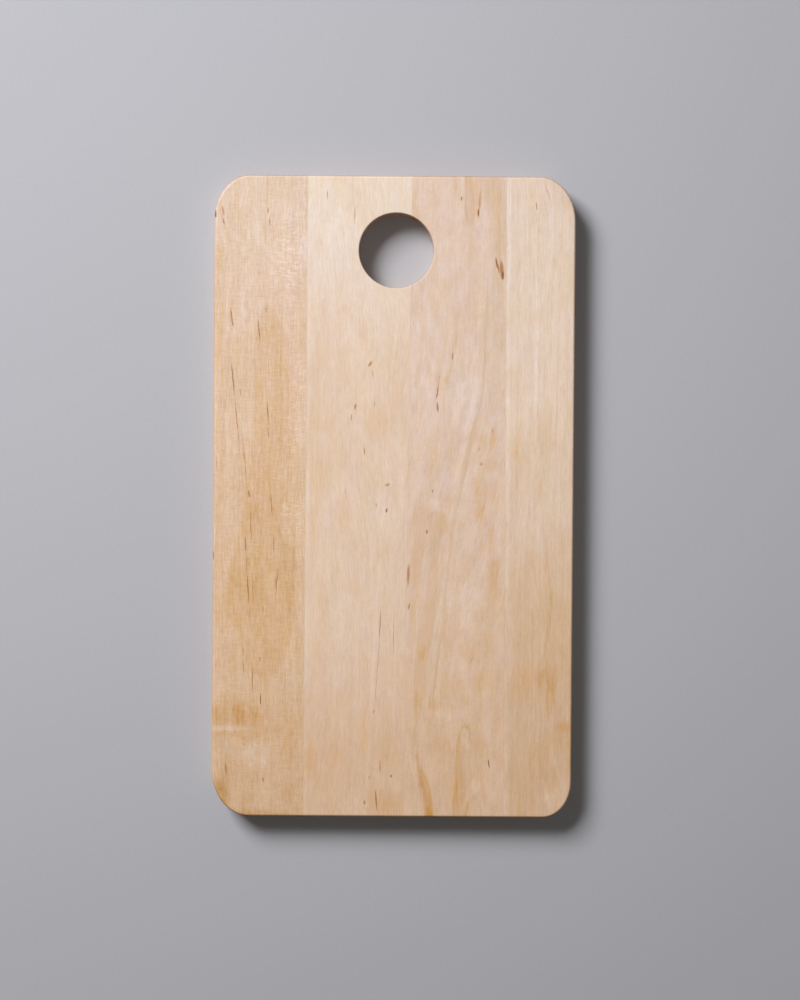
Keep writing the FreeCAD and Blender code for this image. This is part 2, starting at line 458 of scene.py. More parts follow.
HONEY_FIGURE = Figure(1, (-150, 70), -0.01, 0, 3.1, 2.2, 0.26, 1.9, 1.15, 2, 1.1, 0.75)
HONEY_FLECKS = rows(
    Fleck,
    ((-100.3, 305), (-102.2, 317), 1.3, 0.8),
    ((-99.3, 262), (-101.6, 284), 1.1, 0.76),
    ((-96.2, 231), (-99.2, 261), 0.8, 0.66),
    ((-91.4, 205), (-94.2, 239), 0.8, 0.58),
    ((-94, 205), (-95.2, 224), 0.6, 0.36),
    ((-87.6, 217), (-88.8, 238), 0.6, 0.42),
    ((-108.5, 316), (-110, 338), 0.6, 0.3),
    ((-95, 261), (-96.3, 268), 1, 0.45),
    ((-83.4, 295), (-85.4, 311), 1, 0.8),
    ((-78.2, 245), (-79.2, 260), 1, 0.8),
    ((-77.8, 236), (-79, 243), 1.1, 0.6),
    ((-104.3, 255), (-105.6, 261), 0.9, 0.4),
    ((-75.3, 187), (-76.8, 203), 0.8, 0.8),
    ((-90, 199), (-90.3, 204), 1, 0.85),
    ((-88.4, 171), (-89.2, 193), 0.8, 0.65),
    ((-91.8, 165), (-92.2, 175), 1.1, 0.75),
    ((-89.6, 132), (-91.2, 152), 1, 0.8),
    ((-91, 148), (-91.8, 166), 0.8, 0.5),
    ((-88.8, 118), (-89.6, 134), 0.7, 0.45),
    ((-87, 132), (-87.5, 150), 0.9, 0.55),
    ((-85.2, 147), (-85.4, 151), 0.8, 0.5),
    ((-81, 127), (-80.8, 132), 0.9, 0.5),
    ((-72.8, 138), (-72, 156), 0.8, 0.75),
    ((-73.4, 142), (-73.2, 150), 0.9, 0.6),
    ((-74.4, 163), (-74.6, 176), 0.8, 0.55),
    ((-93, 100), (-93.4, 106), 1, 0.7),
    ((-92.6, 89), (-93.4, 98), 0.9, 0.6),
    ((-87.2, 77), (-87.2, 94), 0.8, 0.75),
    ((-82, 69.5), (-82.3, 77), 1.2, 0.9),
    ((-82.6, 97), (-82.6, 100), 1.1, 0.7),
    ((-79.9, 21), (-80.8, 25), 1.2, 0.7),
    ((-111.7, 373), (-111.9, 378), 2, 0.95),
    ((-111.9, 160), (-112.3, 166), 1, 0.7),
    ((-106.4, 374), (-107.8, 381), 1.6, 0.5),
    ((-106.4, 369), (-107.2, 373), 1.1, 0.65),
    ((-79, 376), (-79.2, 380), 1.3, 0.6),
    ((-77.8, 368), (-78.3, 373), 1.1, 0.75),
    ((-103.2, 25), (-103.9, 34), 1.6, 0.6),
    ((-79.8, 314), (-80.3, 318), 1, 0.55),
    ((-84.9, 61.5), (-85.1, 65), 0.7, 0.5),
    ((-104.8, 222), (-105.4, 236), 0.6, 0.25),
    ((-110, 215), (-110.6, 226), 0.8, 0.4),
)
HONEY_PATCHES = rows(
    Patch,
    (-96, 64, 17, 8.5, 0.025, 0.15),
    (-96, 63, 4.5, 8, 0.04, 0.13),
    (-109, 64.5, 7, 7.5, 0.03, 0.12),
    (-79, 60, 11, 9, 0.01, 0.07),
    (-105, 55.2, 12, 1.7, -0.04, -0.13),
    (-104, 51.6, 12, 2, 0.01, 0.12),
    (-90, 50, 10, 4, 0, 0.08),
    (-85, 39, 9.5, 9, -0.035, -0.18),
    (-107, 43, 6, 7, 0, -0.08),
    (-107, 12, 6, 14, 0.11, 0.16),
    (-85, 0, 20, 5, 0.045, 0.16),
    (-63.5, 46, 4.5, 20, 0, 0.09),
    (-64, 18, 6, 8, 0.01, 0.05),
    (-110.5, 348, 3, 12, 0.02, 0.14),
    (-110, 305, 4, 26, 0.01, 0.07),
    (-77.5, 366, 5, 7, 0, 0.06),
    (-74, 345, 12, 26, -0.02, 0),
    (-94, 291, 4, 8, 0.01, 0.06),
    (-86, 385, 8, 8, 0, 0.03),
    (-85, 352, 9, 22, -0.02, -0.02),
)
HONEY_STREAKS = rows(
    Streak,
    (
        (
            (84, -80, -80), (93, -89, -70), (104, -93, -66), (114, -96, -63), (121, -101, -61),
            (130, -105.5, -60), (150, -103.5, -60), (164, -100, -61), (174, -97.5, -68), (194, -94, -69),
            (208, -91.5, -63), (228, -88.5, -62.5), (246, -88, -62.5),
            (280, -86, -63), (305, -86, -69), (322, -80, -80),
        ),
        2.6, 0.026, 0.095,
    ),
    (
        ((116, -90, -90), (124, -103, -64), (140, -103, -62), (160, -99, -63), (178, -93, -66),
         (200, -88, -70), (225, -80, -80)),
        5, 0.02, 0.04,
    ),
    (
        ((322, -104.8, -103.4), (340, -103.2, -101.8), (352, -104.2, -102.8), (362, -107.8, -106.2),
         (374, -112, -110.6)),
        1.2, -0.03, -0.06,
    ),
    (
        ((318, -102.2, -101), (338, -101, -99.8), (352, -101.8, -100.4), (364, -105.4, -104),
         (378, -109.6, -108)),
        1.2, 0.03, 0.05,
    ),
)

HONEY_GLINTS = rows(
    Glint,
    (-66, 350, 11, 27, 1),
    (-61, 262, 7, 38, 0.8),
    (-63, 186, 8, 16, 0.8),
    (-70, 225, 9, 20, 0.4),
    (-66, 140, 8, 20, 0.3),
)

CREAM_FIGURE = Figure(2, (-20, 95), -0.02, 0.06, 4.4, 4, 0.20, 1.3, 1.1, 0.6, 1.4, 0.12)
CREAM_FLECKS = rows(
    Fleck,
    ((-42.2, 385), (-42.4, 391), 0.9, 0.6),
    ((-25.4, 369), (-25.2, 381), 0.9, 0.5),
    ((-18.3, 226), (-18.5, 231.5), 1.2, 0.7),
    ((-4.4, 190.3), (-4, 193.2), 1.5, 0.85),
    ((-10.5, 193), (-10.7, 197), 0.9, 0.45),
    ((-30.2, 201), (-30.2, 206), 1, 0.35),
    ((-8.2, 110), (-7.4, 130), 1, 0.62),
    ((-10.9, 66), (-7.9, 114), 0.8, 0.36),
    ((-11.8, 64.5), (-11.2, 67.5), 1.5, 0.4),
    ((-7.2, 27), (-7.2, 36), 1, 0.6),
    ((-9, 4), (-10.2, 17), 1.1, 0.9),
    ((-16.9, 7.5), (-16.7, 10.5), 1.4, 0.6),
    ((-0.4, 24.6), (-0.4, 26.6), 1.2, 0.9),
    ((-14, 23.5), (-14, 26), 1.1, 0.5),
    ((-16, 280.9), (-14.2, 284.9), 2.6, 0.60),
    ((-15.9, 281.4), (-15.5, 283.4), 1.2, 0.66),
    ((-13.6, 275), (-13.8, 279), 1.1, 0.38),
    ((-24.6, 254), (-23.6, 258.4), 1.9, 0.62),
    ((-26.8, 247), (-26.4, 252), 1.1, 0.52),
    ((-4.2, 206.6), (-3.4, 208.8), 4.8, 0.44),
    ((-3.6, 206.6), (-3.4, 208.2), 1.4, 0.58),
    ((-12.3, 256), (-12.1, 260), 0.9, 0.4),
    ((0.5, 99), (0.7, 128), 0.8, 0.45),
)
CREAM_PATCHES = rows(
    Patch,
    (-47, 216, 5, 18, 0.01, 0.06),
    (-45, 262, 9, 60, 0.02, 0.05),
    (0, 282, 7, 30, 0.02, 0.03),
    (-30, 192, 6, 10, 0.01, 0.07),
    (-49, 178, 3, 26, 0, 0.06),
    (-46, 118, 6, 30, 0, 0.06),
    (-9, 248, 9, 13, 0.015, 0.06),
    (3, 262, 4, 24, 0.01, 0.05),
    (-46, 245, 6, 4, 0, 0.05),
    (-34, 290, 7, 3, 0.01, 0.04),
    (-51, 38, 4, 14, 0, 0.11),
    (-35, 37, 5, 11, 0, 0.08),
    (-18, 52, 2.5, 18, 0, 0.07),
    (-6, 9, 10, 10, 0.02, 0.11),
    (-43, 22, 6, 8, 0, 0.06),
    (-27, 10, 8, 10, -0.02, -0.05),
    (-36, 365, 9, 20, 0, -0.03),
    (-15, 392, 8, 6, 0, 0.04),
    (-33, 320, 4, 18, 0, 0.05),
    (-20, 300, 3, 10, -0.01, 0.03),
    (-24, 145, 6, 6, 0, 0.05),
    (-4, 38, 2.5, 3, 0.02, 0.05),
    (-30, 90, 8, 8, -0.01, -0.04),
)
CREAM_STREAKS = rows(
    Streak,
    (((0, -54.6, -52.8), (200, -54.4, -52.6), (400, -53.8, -52)), 1.4, -0.008, -0.035),
    (((70, -13.5, -12.5), (140, -10, -9), (190, -7, -6)), 1.5, -0.015, -0.04),
)

ROSE_FIGURE = Figure(3, (50, 16), 0.10, 0.072, 5, 3, 0.11, 1.2, 1.75, 0.8, 1.5, -0.02)
ROSE_FLECKS = rows(
    Fleck,
    ((64.2, 342), (62.7, 350), 1.8, 0.86),
    ((64.9, 340), (63.9, 346), 1.2, 0.7),
    ((66.9, 335.6), (66, 348.5), 3.6, 0.64),
    ((67, 335.6), (67.3, 341.5), 2.6, 1),
    ((41, 384.5), (41.2, 387.5), 1.3, 0.75),
    ((51.6, 374.5), (51.9, 380.5), 1.7, 0.85),
    ((52, 376), (53, 392), 1.8, 0.42),
    ((36, 285.5), (36.4, 290.5), 1.5, 0.62),
    ((26.2, 260.5), (27.6, 270), 1.1, 0.75),
    ((27.2, 268), (28.6, 278), 0.9, 0.4),
    ((27.5, 252.8), (26.7, 259.5), 1.6, 0.72),
    ((24.4, 203.1), (24.4, 204.9), 1.2, 0.9),
    ((21.1, 177.3), (21.1, 179.8), 1.7, 0.72),
    ((61.2, 30.8), (60.5, 36.5), 1.1, 0.95),
    ((9.7, 129.5), (10.7, 134), 1.2, 0.75),
    ((9.4, 144), (9.9, 159), 3, 0.56),
    ((61.2, 240.5), (61.4, 243.5), 1.2, 0.45),
    ((54.6, 219.8), (54.8, 222.2), 3.2, 0.40),
    ((53.4, 229), (53.2, 232), 1.2, 0.4),
    ((24.2, 66), (28.8, 99), 1, 0.32),
    ((48.8, 96), (50.4, 101), 1.2, 0.3),
)
ROSE_PATCHES = rows(
    Patch,
    (48.5, 335, 3.5, 46, 0.01, 0.05),
    (63.5, 364, 1.8, 20, 0.01, 0.09),
    (33.5, 273, 2, 3, 0.02, 0.08),
    (54.5, 235, 3, 6, 0.02, 0.10),
    (62, 236, 4, 9, 0.02, 0.155),
    (61, 221, 3.5, 5, 0.01, 0.08),
    (53.5, 206, 4.5, 8, 0.01, 0.10),
    (62.5, 205, 4, 8, 0.02, 0.10),
    (54.5, 190, 3.5, 9, 0.01, 0.14),
    (51, 197.5, 3.5, 2, 0.01, 0.10),
    (61.5, 162, 3, 28, 0.012, 0.15),
    (64, 158, 4, 6, 0.015, 0.10),
    (64.5, 144, 3, 9, 0.01, 0.08),
    (53, 172, 4, 9, 0.015, 0.06),
    (46, 160, 6, 5, 0.01, 0.04),
    (53, 125, 4, 5, 0.01, 0.05),
    (58, 112, 8, 6, 0.01, 0.06),
    (57, 86, 8, 7, 0.01, 0.06),
    (38, 83, 7, 7, 0.01, 0.05),
    (50, 104, 8, 4, 0, 0.05),
    (18, 104, 3.5, 6, 0.01, 0.08),
    (14, 73, 4, 6, 0.01, 0.07),
    (25, 71, 3, 4, 0.01, 0.07),
    (27, 210, 8, 12, 0.02, -0.03),
    (26, 197, 7, 3, -0.015, -0.05),
    (45, 135, 12, 14, -0.01, -0.04),
    (43.5, 14, 6, 25, 0.03, 0.18),
    (62, 284, 7, 56, 0.03, 0.03),
    (60, 390, 7, 13, 0.014, 0.06),
    (22, 165, 10, 30, 0.012, 0.02),
    (66.5, 372, 2.6, 34, 0.022, 0.02),
    (57, 18, 3, 10, 0.01, 0.07),
    (35, 42, 3, 7, 0.01, 0.08),
    (56, 46, 5, 2, 0.01, 0.07),
    (32, 20, 5, 12, 0, 0.03),
    (52, 6, 3, 6, 0.01, 0.05),
    (34, 65, 10, 4, -0.01, -0.05),
)
ROSE_STREAKS = rows(
    Streak,
    (((366, 47, 47), (374, 44.8, 49.5), (384, 43.4, 53), (400, 43, 54.5)), 2, 0.022, 0.11),
    (((366, 46, 46), (371, 45, 46.5), (380, 43.2, 44.4), (400, 43.2, 44.2)), 1.2, 0.04, 0.07),
    (
        ((60, 22, 22), (70, 22.6, 24), (98, 27.2, 28.8), (140, 32, 33.4), (185, 37.4, 38.8),
         (205, 40.6, 42.6), (222, 44.2, 46.6), (240, 48, 50.6), (252, 51.2, 53.2), (266, 53.6, 55.4),
         (280, 55, 57), (300, 55.6, 57.8), (330, 57, 58.4), (345, 57.4, 57.4)),
        1.7, 0.036, 0.045,
    ),
    (
        ((70, 25, 25), (98, 29, 30.6), (140, 29.8, 31.4), (185, 35, 36.8), (215, 38.8, 41),
         (245, 44.5, 47.5), (275, 50, 52.6), (300, 52, 52)),
        3, -0.018, -0.03,
    ),
    (
        ((258, 26, 26), (264, 25.2, 27.6), (280, 27.6, 30.6), (300, 30.2, 33), (325, 33, 33)),
        2, 0.025, 0.05,
    ),
    (
        ((264, 33, 33), (272, 32.2, 35), (285, 34.2, 37), (300, 36.6, 39), (318, 40, 40)),
        2, 0.02, 0.07,
    ),
    (
        ((222, 28, 28), (236, 32, 34), (256, 37, 41), (280, 42, 46), (300, 45, 48), (325, 48, 48)),
        5, -0.014, -0.03,
    ),
    (
        ((55, 16, 16), (70, 13.5, 19.5), (100, 14, 22.5), (130, 19.5, 27), (150, 21.5, 27.6),
         (170, 23, 28.6), (180, 22, 33), (188, 21, 33.6), (193, 28, 28)),
        2, 0.026, 0.08,
    ),
    (
        ((90, 11, 11), (110, 10, 13.5), (135, 11, 15), (155, 11, 18), (178, 12, 19.4), (192, 12, 18),
         (200, 14, 14)),
        2, 0.02, 0.07,
    ),
    (
        ((-5, 19.6, 27), (8, 18.6, 26), (16, 17.2, 25), (25, 16.2, 22), (32, 15.6, 18),
         (38, 15, 16.8), (43, 15.6, 15.6)),
        2.8, 0.052, 0.22,
    ),
    (((-5, 22, 25.5), (8, 20.4, 23), (18, 18, 20.4), (28, 16.4, 18), (36, 16, 16)), 2, 0.03, 0.05),
    (
        ((-5, 37.4, 39.2), (20, 38.9, 40.9), (38, 39.4, 41.6), (48, 40.6, 42.8), (54, 42.4, 45),
         (57.6, 44.4, 48), (59, 46.4, 46.4)),
        2, 0.020, 0.11,
    ),
    (
        ((44, 50.6, 50.6), (47, 49, 50), (53, 48, 49), (57.6, 46.4, 48.6), (59, 47, 47)),
        1.2, 0.02, 0.08,
    ),
    (((42, 49, 49), (46, 44, 49), (52, 43, 48), (56, 45, 45)), 1.2, -0.02, -0.06),
    (((-5, 42, 44), (10, 45, 47), (17, 47.5, 55), (22, 49.5, 54.5), (26, 52, 52)), 1.8, -0.03, -0.07),
    (((-5, 45.2, 46.4), (8, 47.6, 49), (13, 49.6, 52.4), (16, 51, 51)), 1.2, 0.02, 0.07),
    (((-5, 56.4, 57.6), (8, 54.4, 55.6), (13, 50.6, 53.4), (16, 52, 52)), 1.2, 0.02, 0.07),
)

PALE_FIGURE = Figure(4, (170, 60), 0.005, 0, 3.4, 1.6, 0.38, 1.4, 1.1, 0.6, 1.6, 0.12)
PALE_FLECKS = rows(
    Fleck,
    ((88, 379), (87.4, 384.5), 1, 0.62),
    ((96.8, 384), (92.4, 397), 0.9, 0.38),
)
PALE_PATCHES = rows(
    Patch,
    (97, 88, 6.5, 9, 0.022, 0.12),
    (98.5, 75, 3, 12, 0.01, 0.14),
    (85, 90, 8, 10, 0, 0.06),
    (78, 84, 4, 12, 0, 0.05),
    (107, 57, 6, 4, 0.015, 0.12),
    (104, 50, 4, 6, 0.01, 0.07),
    (110.5, 38, 2, 10, 0.01, 0.09),
    (90, 34, 6, 11, 0.01, 0.06),
    (99, 24, 4, 9, 0.01, 0.06),
    (88, 12, 2.5, 5, 0.01, 0.05),
    (83, 64, 3.5, 7, -0.01, -0.06),
    (98, 60, 3, 5, -0.01, -0.05),
    (78.5, 226, 4, 30, 0, 0.05),
    (75.5, 230, 3, 5, 0, 0.05),
    (95, 248, 10, 12, 0.01, 0.03),
    (88, 188, 10, 22, -0.01, -0.03),
    (105, 391, 8, 12, 0.03, 0.05),
    (104, 13, 8, 13, -0.03, -0.07),
)
PALE_STREAKS = rows(
    Streak,
    (((0, 70.2, 73.2), (200, 69.8, 72.4), (400, 69.2, 72)), 1.8, -0.014, -0.045),
    (
        ((225, 88.4, 88.4), (240, 87.6, 89.4), (280, 87.4, 89.6), (330, 88, 90), (350, 89, 89)),
        1.5, -0.025, -0.05,
    ),
    (
        ((92, 94, 94), (100, 93.6, 95), (115, 96, 97.8), (135, 98, 99.8), (150, 97.2, 98.6),
         (165, 95, 96.4), (178, 93.4, 94.4), (186, 93, 93)),
        1.5, 0.015, 0.09,
    ),
    (
        ((-5, 74, 113), (60, 74, 113), (100, 74, 113), (122, 75, 113), (134, 76, 111),
         (145, 77, 99), (158, 80, 96), (172, 84, 84)),
        5, 0.004, 0.045,
    ),
    (((2, 99.5, 99.5), (8, 98, 99.5), (20, 95, 96.5), (27, 95, 95)), 1.4, -0.02, -0.06),
    (((16, 107, 107), (22, 104.6, 106), (36, 101, 102.6), (48, 99, 99)), 1.4, -0.02, -0.06),
)


def fleck_closeness(finish, fleck, spot):
    """How strongly a fleck shows at this place: a narrow spindle along the grain."""
    across = (fleck.low[0] + fleck.high[0]) / 2
    up = (fleck.low[1] + fleck.high[1]) / 2
    half_length = (fleck.high[1] - fleck.low[1]) / 2
    half_width = fleck.width * FLECK_HALF
    lean = (fleck.high[0] - fleck.low[0]) / (fleck.high[1] - fleck.low[1])
    line = (1 / half_width, -lean / half_width, (lean * up - across) / half_width)
    product = finish.node("ShaderNodeVectorMath", {"operation": "DOT_PRODUCT"}, {0: spot, 1: line})
    beside = Value(finish, product.outputs["Value"])
    above = finish.up.math("MULTIPLY_ADD", finish.up, 1 / half_length, -up / half_length)
    reach = beside.math("MULTIPLY_ADD", beside, beside, above * above)
    return reach.ease(0.0, FLECK_REACH, fleck.strength, 0.0)


def patch_mask(finish, patch, warped):
    """How much of a round patch is at this place, from 0 to 1."""
    scale = (1 / patch.wide, 1 / patch.long, 0.0)
    middle = (-patch.across / patch.wide, -patch.up / patch.long, 0.0)
    offset = finish.node(
        "ShaderNodeVectorMath", {"operation": "MULTIPLY_ADD"}, {0: warped, 1: scale, 2: middle}
    )
    reach = finish.node("ShaderNodeVectorMath", {"operation": "LENGTH"}, {0: offset.outputs[0]})
    return Value(finish, reach.outputs["Value"]).ease(*PATCH_FADE)


def streak_mask(finish, streak, sway, share):
    """How much of a streak is at this place, from 0 to 1. share is the place along the board."""
    across = finish.across + sway * (STREAK_SWAY * streak.soft) - SPAN_LOW
    middles = []
    halves = []
    for up, left, right in streak.sides:
        at = up / LENGTH_MM
        half = (right - left) / 2 or -streak.soft / 2
        middles.append((at, ((left + right) / 2 - SPAN_LOW) / SPAN))
        halves.append((at, 0.5 + half / SPAN))
    middle = finish.curve(share, middles)
    half = finish.curve(share, halves)
    beyond = abs(across - middle * SPAN) - (half - 0.5) * SPAN
    return beyond.ease(-streak.soft / 2, streak.soft / 2, 1.0, 0.0)


def growth_rings(finish, figure, sideways):
    """Uneven bands round the pith, and the late wood that ends each year's ring."""
    depth = finish.height - THICKNESS_MM + figure.pith[1] + finish.up * figure.dive
    rings = (sideways * sideways + depth * depth).root() / figure.ring + figure.seed
    ring_noise = finish.node(
        "ShaderNodeTexNoise",
        {"noise_dimensions": "1D"},
        {"W": rings, "Scale": 0.9, "Detail": 3.0, "Roughness": 0.6},
    )
    bands = Value(finish, ring_noise.outputs[0]) - 0.5
    year = rings.fraction()
    late = year.ease(0.55, 0.97) * (1.0 - year.ease(0.97, 1.0))
    return bands, late


def mark_shares(masks):
    """How much darker and how much warmer the patches and streaks make this place."""
    dark = warm = 0.0
    for mask, mark in masks:
        dark = mask.math("MULTIPLY_ADD", mask, mark.dark, dark)
        warm = mask.math("MULTIPLY_ADD", mask, mark.warm, warm)
    return dark, warm


def fleck_shares(finish, flecks, spot, on_top):
    """How rusty and how dark the flecks make this place."""
    closeness = fleck_closeness(finish, flecks[0], spot)
    for fleck in flecks[1:]:
        closeness = closeness.highest(fleck_closeness(finish, fleck, spot))
    closeness = closeness * on_top
    return [closeness.ease(begins, full) * cover for begins, full, cover in (RUST, CORE)]


def shade_sides(finish, skin, late, pores):
    """Deepen the colour on the rounded edges and the sides as painted shade, and more so on the end
    grain, whose own colour is darker.
    """
    normal = finish.node("ShaderNodeNewGeometry").outputs["Normal"]
    facing = finish.node("ShaderNodeSeparateXYZ", inputs={0: normal}).outputs
    end_grain = abs(Value(finish, facing["Y"])).ease(0.35, 0.95)
    # Painted shade: the rounded edges and the sides, which turn away from the top face, are made darker.
    turned = abs(Value(finish, facing["Z"])).ease(0.80, 0.995, 1.0, 0.0)
    skin = finish.tint(turned * 0.8, skin, SIDE_SHADE_TINT)
    end_tone = finish.tint((pores + 0.5).ease(0.25, 0.75), skin, END_PORE_TINT)
    end_tone = finish.tint(late * 0.7, end_tone, END_RING_TINT)
    return finish.mix(end_grain, skin, finish.tint(1.0, end_tone, END_TINT)), end_grain


def wood(name, tones, figure, flecks, patches, streaks, glints, colours):
    """Sanded bare wood. The grain runs through the solid, and the marks lie near the top face."""
    finish = Finish(name)
    seed = figure.seed
    plain = finish.vector(finish.across, finish.up, finish.height)
    drift = finish.noise(plain, DRIFT, seed)
    waver = finish.noise(plain, WAVER, seed)
    shift = drift * (5.0 * figure.wave) + waver * figure.wave
    lean = finish.up.ease(LEAN_FROM, LEAN_TO, 0.0, (LEAN_TO - LEAN_FROM) * figure.lean)
    wandering = finish.across - lean + shift
    grain = finish.vector(wandering, finish.up, finish.height)
    bands, late = growth_rings(finish, figure, wandering - figure.pith[0])

    hair = finish.noise(grain, HAIR, seed)
    fibre = finish.noise(grain, FIBRE, seed)
    strand = finish.noise(grain, STRAND, seed)
    mottle = finish.noise(grain, MOTTLE, seed)
    blotch = finish.noise(grain, BLOTCH, seed)
    blush = finish.noise(grain, BLUSH, seed)
    speck = finish.noise(plain, SPECK, seed)
    cloud = finish.noise(plain, CLOUD, seed)
    silk = finish.noise(plain, SILK, seed)
    dashes = finish.noise(plain, DASHES, seed).highest(0.0)
    pores = finish.noise(grain, PORES, seed).ease(0.14, 0.30)
    jolt = finish.noise(grain, JOLT, seed)
    sway = finish.noise(grain, SWAY, seed)
    flutter = finish.noise(grain, FLUTTER, seed)

    # The patches and streaks, with their outlines and their strength broken up by noise.
    ragged = finish.across + sway * 8.0 + mottle * 4.0
    warped = finish.vector(ragged, finish.up + jolt * 4.0 + mottle * 3.0, 0.0)
    share = (finish.up + jolt * 8.0) / LENGTH_MM
    masks = [(patch_mask(finish, patch, warped), patch) for patch in patches]
    masks += [(streak_mask(finish, streak, sway, share), streak) for streak in streaks]
    dark, warm = mark_shares(masks)
    whole, gone = MARK_DEPTHS
    on_top = finish.height.ease(THICKNESS_MM - gone, THICKNESS_MM - whole)
    uneven = (mottle * 3.6 + jolt * 1.6 + speck) * figure.marks + figure.marks
    dark = dark * on_top * uneven
    warm = warm * on_top * uneven

    # How much brighter, cooler and greener than the stave's own colour this place is; the brightness
    # also holds the painted glints.
    bright = bands * (0.10 * figure.rings) - late * (0.06 * figure.rings)
    bright = bright + (hair * 0.20 + fibre * 0.12 + strand * 0.08) * figure.fibre
    bright = bright + (mottle * 0.10 + blotch * 0.10 + speck * 0.07) * figure.mottle
    bright = bright + silk * (0.12 * figure.silk) - dark - warm * 0.07
    # Painted highlights: bright glint dashes across the grain inside each glint patch.
    for glint in glints:
        bright = bright + dashes * patch_mask(finish, glint, warped) * glint.strength
    cool = (blush * 0.34 + mottle * 0.14 + blotch * 0.22) * figure.mottle + strand * 0.12 - warm
    cool = cool - late * (0.10 * figure.rings) + hair * 0.12 + speck * 0.12
    greener = mottle * 0.05 - blush * 0.05 + hair * 0.04 - cloud * 0.05

    stops = [(at, tuple(getattr(colours, f"{tones}_{part}"))) for part, at in TONE_PLACES]
    along = (finish.up + cloud * 40.0) / LENGTH_MM
    ramp = finish.node("ShaderNodeValToRGB", {"stops": stops}, {0: along})
    red = bright + 1.0
    green = red + bright * (0.4 * figure.deepen - 0.10) + cool * 0.36 - warm * 0.04 + greener
    blue = red + bright * figure.deepen + cool
    factor = finish.vector(red, green, blue)
    skin = finish.node(
        "ShaderNodeVectorMath", {"operation": "MULTIPLY"}, {0: ramp.outputs[0], 1: factor}
    ).outputs[0]

    spot = finish.vector(finish.across + flutter * 1.1, finish.up, 1.0)
    rust, core = fleck_shares(finish, flecks, spot, on_top)
    skin = finish.mix(rust, skin, (*colours.amber_fleck, 1.0))
    skin = finish.mix(core, skin, (*colours.dark_fleck, 1.0))
    skin = finish.tint(pores * 0.25, skin, PORE_TINT)
    skin, end_grain = shade_sides(finish, skin, late, finish.noise(plain, END_PORES, seed))

    roughness = fibre * 0.12 + strand * 0.10 + end_grain * 0.12 + 0.56
    relief = hair * 0.5 + fibre * 0.3 + late * 0.25 - pores * 0.6 - core * 1.2
    bump = finish.node("ShaderNodeBump", inputs={"Strength": 0.5, "Distance": 0.00008, "Height": relief})
    surface = finish.node(
        "ShaderNodeBsdfPrincipled",
        inputs={
            "Base Color": skin,
            "Roughness": roughness,
            "Normal": bump.outputs[0],
            "Specular IOR Level": 0.3,
        },
    )
    return finish.finish(surface.outputs[0])


def glue_finish(tone):
    """Cured wood glue, sanded flush: slightly glossy, with a faint cloudiness along its length."""
    finish = Finish("cured_glue")
    cloud = finish.noise(finish.vector(finish.across, finish.up, finish.height), GLUE_CLOUD)
    skin = finish.tint((cloud + 0.5).ease(0.3, 0.7), (*tone, 1.0), GLUE_TINT)
    surface = finish.node(
        "ShaderNodeBsdfPrincipled",
        inputs={"Base Color": skin, "Roughness": cloud * 0.15 + 0.48, "Specular IOR Level": 0.35},
    )
    return finish.finish(surface.outputs[0])


# ---- Modelling -------------------------------------------------------------


def deselect_all():
    """Leave nothing selected in object mode."""
    bpy.ops.object.select_all(action="DESELECT")


def select_edges(obj, test):
    """In edit mode, select just the edges whose two ends pass the test."""
    bpy.ops.mesh.select_all(action="DESELECT")
    bpy.ops.mesh.select_mode(type="EDGE")
    mesh = bmesh.from_edit_mesh(obj.data)
    for edge in mesh.edges:
        if test(edge.verts[0].co, edge.verts[1].co):
            edge.select_set(True)
    bmesh.update_edit_mesh(obj.data)


def select_vertices(obj, test):
    """In edit mode, select just the vertices that pass the test."""
    bpy.ops.mesh.select_all(action="DESELECT")
    bpy.ops.mesh.select_mode(type="VERT")
    mesh = bmesh.from_edit_mesh(obj.data)
    for vertex in mesh.verts:
        if test(vertex.co):
            vertex.select_set(True)
    mesh.select_flush(True)
    bmesh.update_edit_mesh(obj.data)


def bevel_edges(offset, segments):
    """Round the selected edges."""
    bpy.ops.mesh.bevel(
        offset=offset, segments=segments, profile=0.5, affect="EDGES", clamp_overlap=False
    )


def round_corner(obj, size, side, end):
    """Round one upright edge of the slab, then draw the curve out along the long side."""
    corner = Vector((side * EXTENT.x / 2, end * EXTENT.y / 2))
    across = size * CORNER_ACROSS
    select_edges(obj, lambda a, b: (a.xy - corner).length < TINY and (b.xy - corner).length < TINY)
    bevel_edges(across, CORNER_SEGMENTS)
    reach = across + TINY
    select_vertices(
        obj, lambda at: abs(at.x - corner.x) < reach and abs(at.y - corner.y) < reach
    )
    bpy.ops.transform.resize(
        value=(1.0, CORNER_ALONG / CORNER_ACROSS, 1.0), center_override=(*corner, CENTRE.z)
    )


def soften_outline(obj, radius):
    """Round the whole top and bottom outline."""
    level = (LOW.z, HIGH.z)
    select_edges(
        obj, lambda a, b: any(abs(a.z - z) < TINY and abs(b.z - z) < TINY for z in level)
    )
    bevel_edges(radius, OUTLINE_SEGMENTS)


def bore_hole(obj):
    """Bore the finger hole through the slab with a round cutter."""
    bpy.ops.object.mode_set(mode="OBJECT")
    deselect_all()
    place = (*HOLE_AXIS, CENTRE.z)
    bpy.ops.mesh.primitive_cylinder_add(
        vertices=HOLE_SIDES, radius=HOLE_RADIUS, depth=EXTENT.z * 2, location=place
    )
    cutter = bpy.context.object
    deselect_all()
    obj.select_set(True)
    bpy.context.view_layer.objects.active = obj
    bpy.ops.object.modifier_add(type="BOOLEAN")
    boolean = obj.modifiers[-1]
    boolean.operation = "DIFFERENCE"
    boolean.solver = "EXACT"
    boolean.object = cutter
    bpy.ops.object.modifier_apply(modifier=boolean.name)
    bpy.data.objects.remove(cutter)
    bpy.ops.object.mode_set(mode="EDIT")


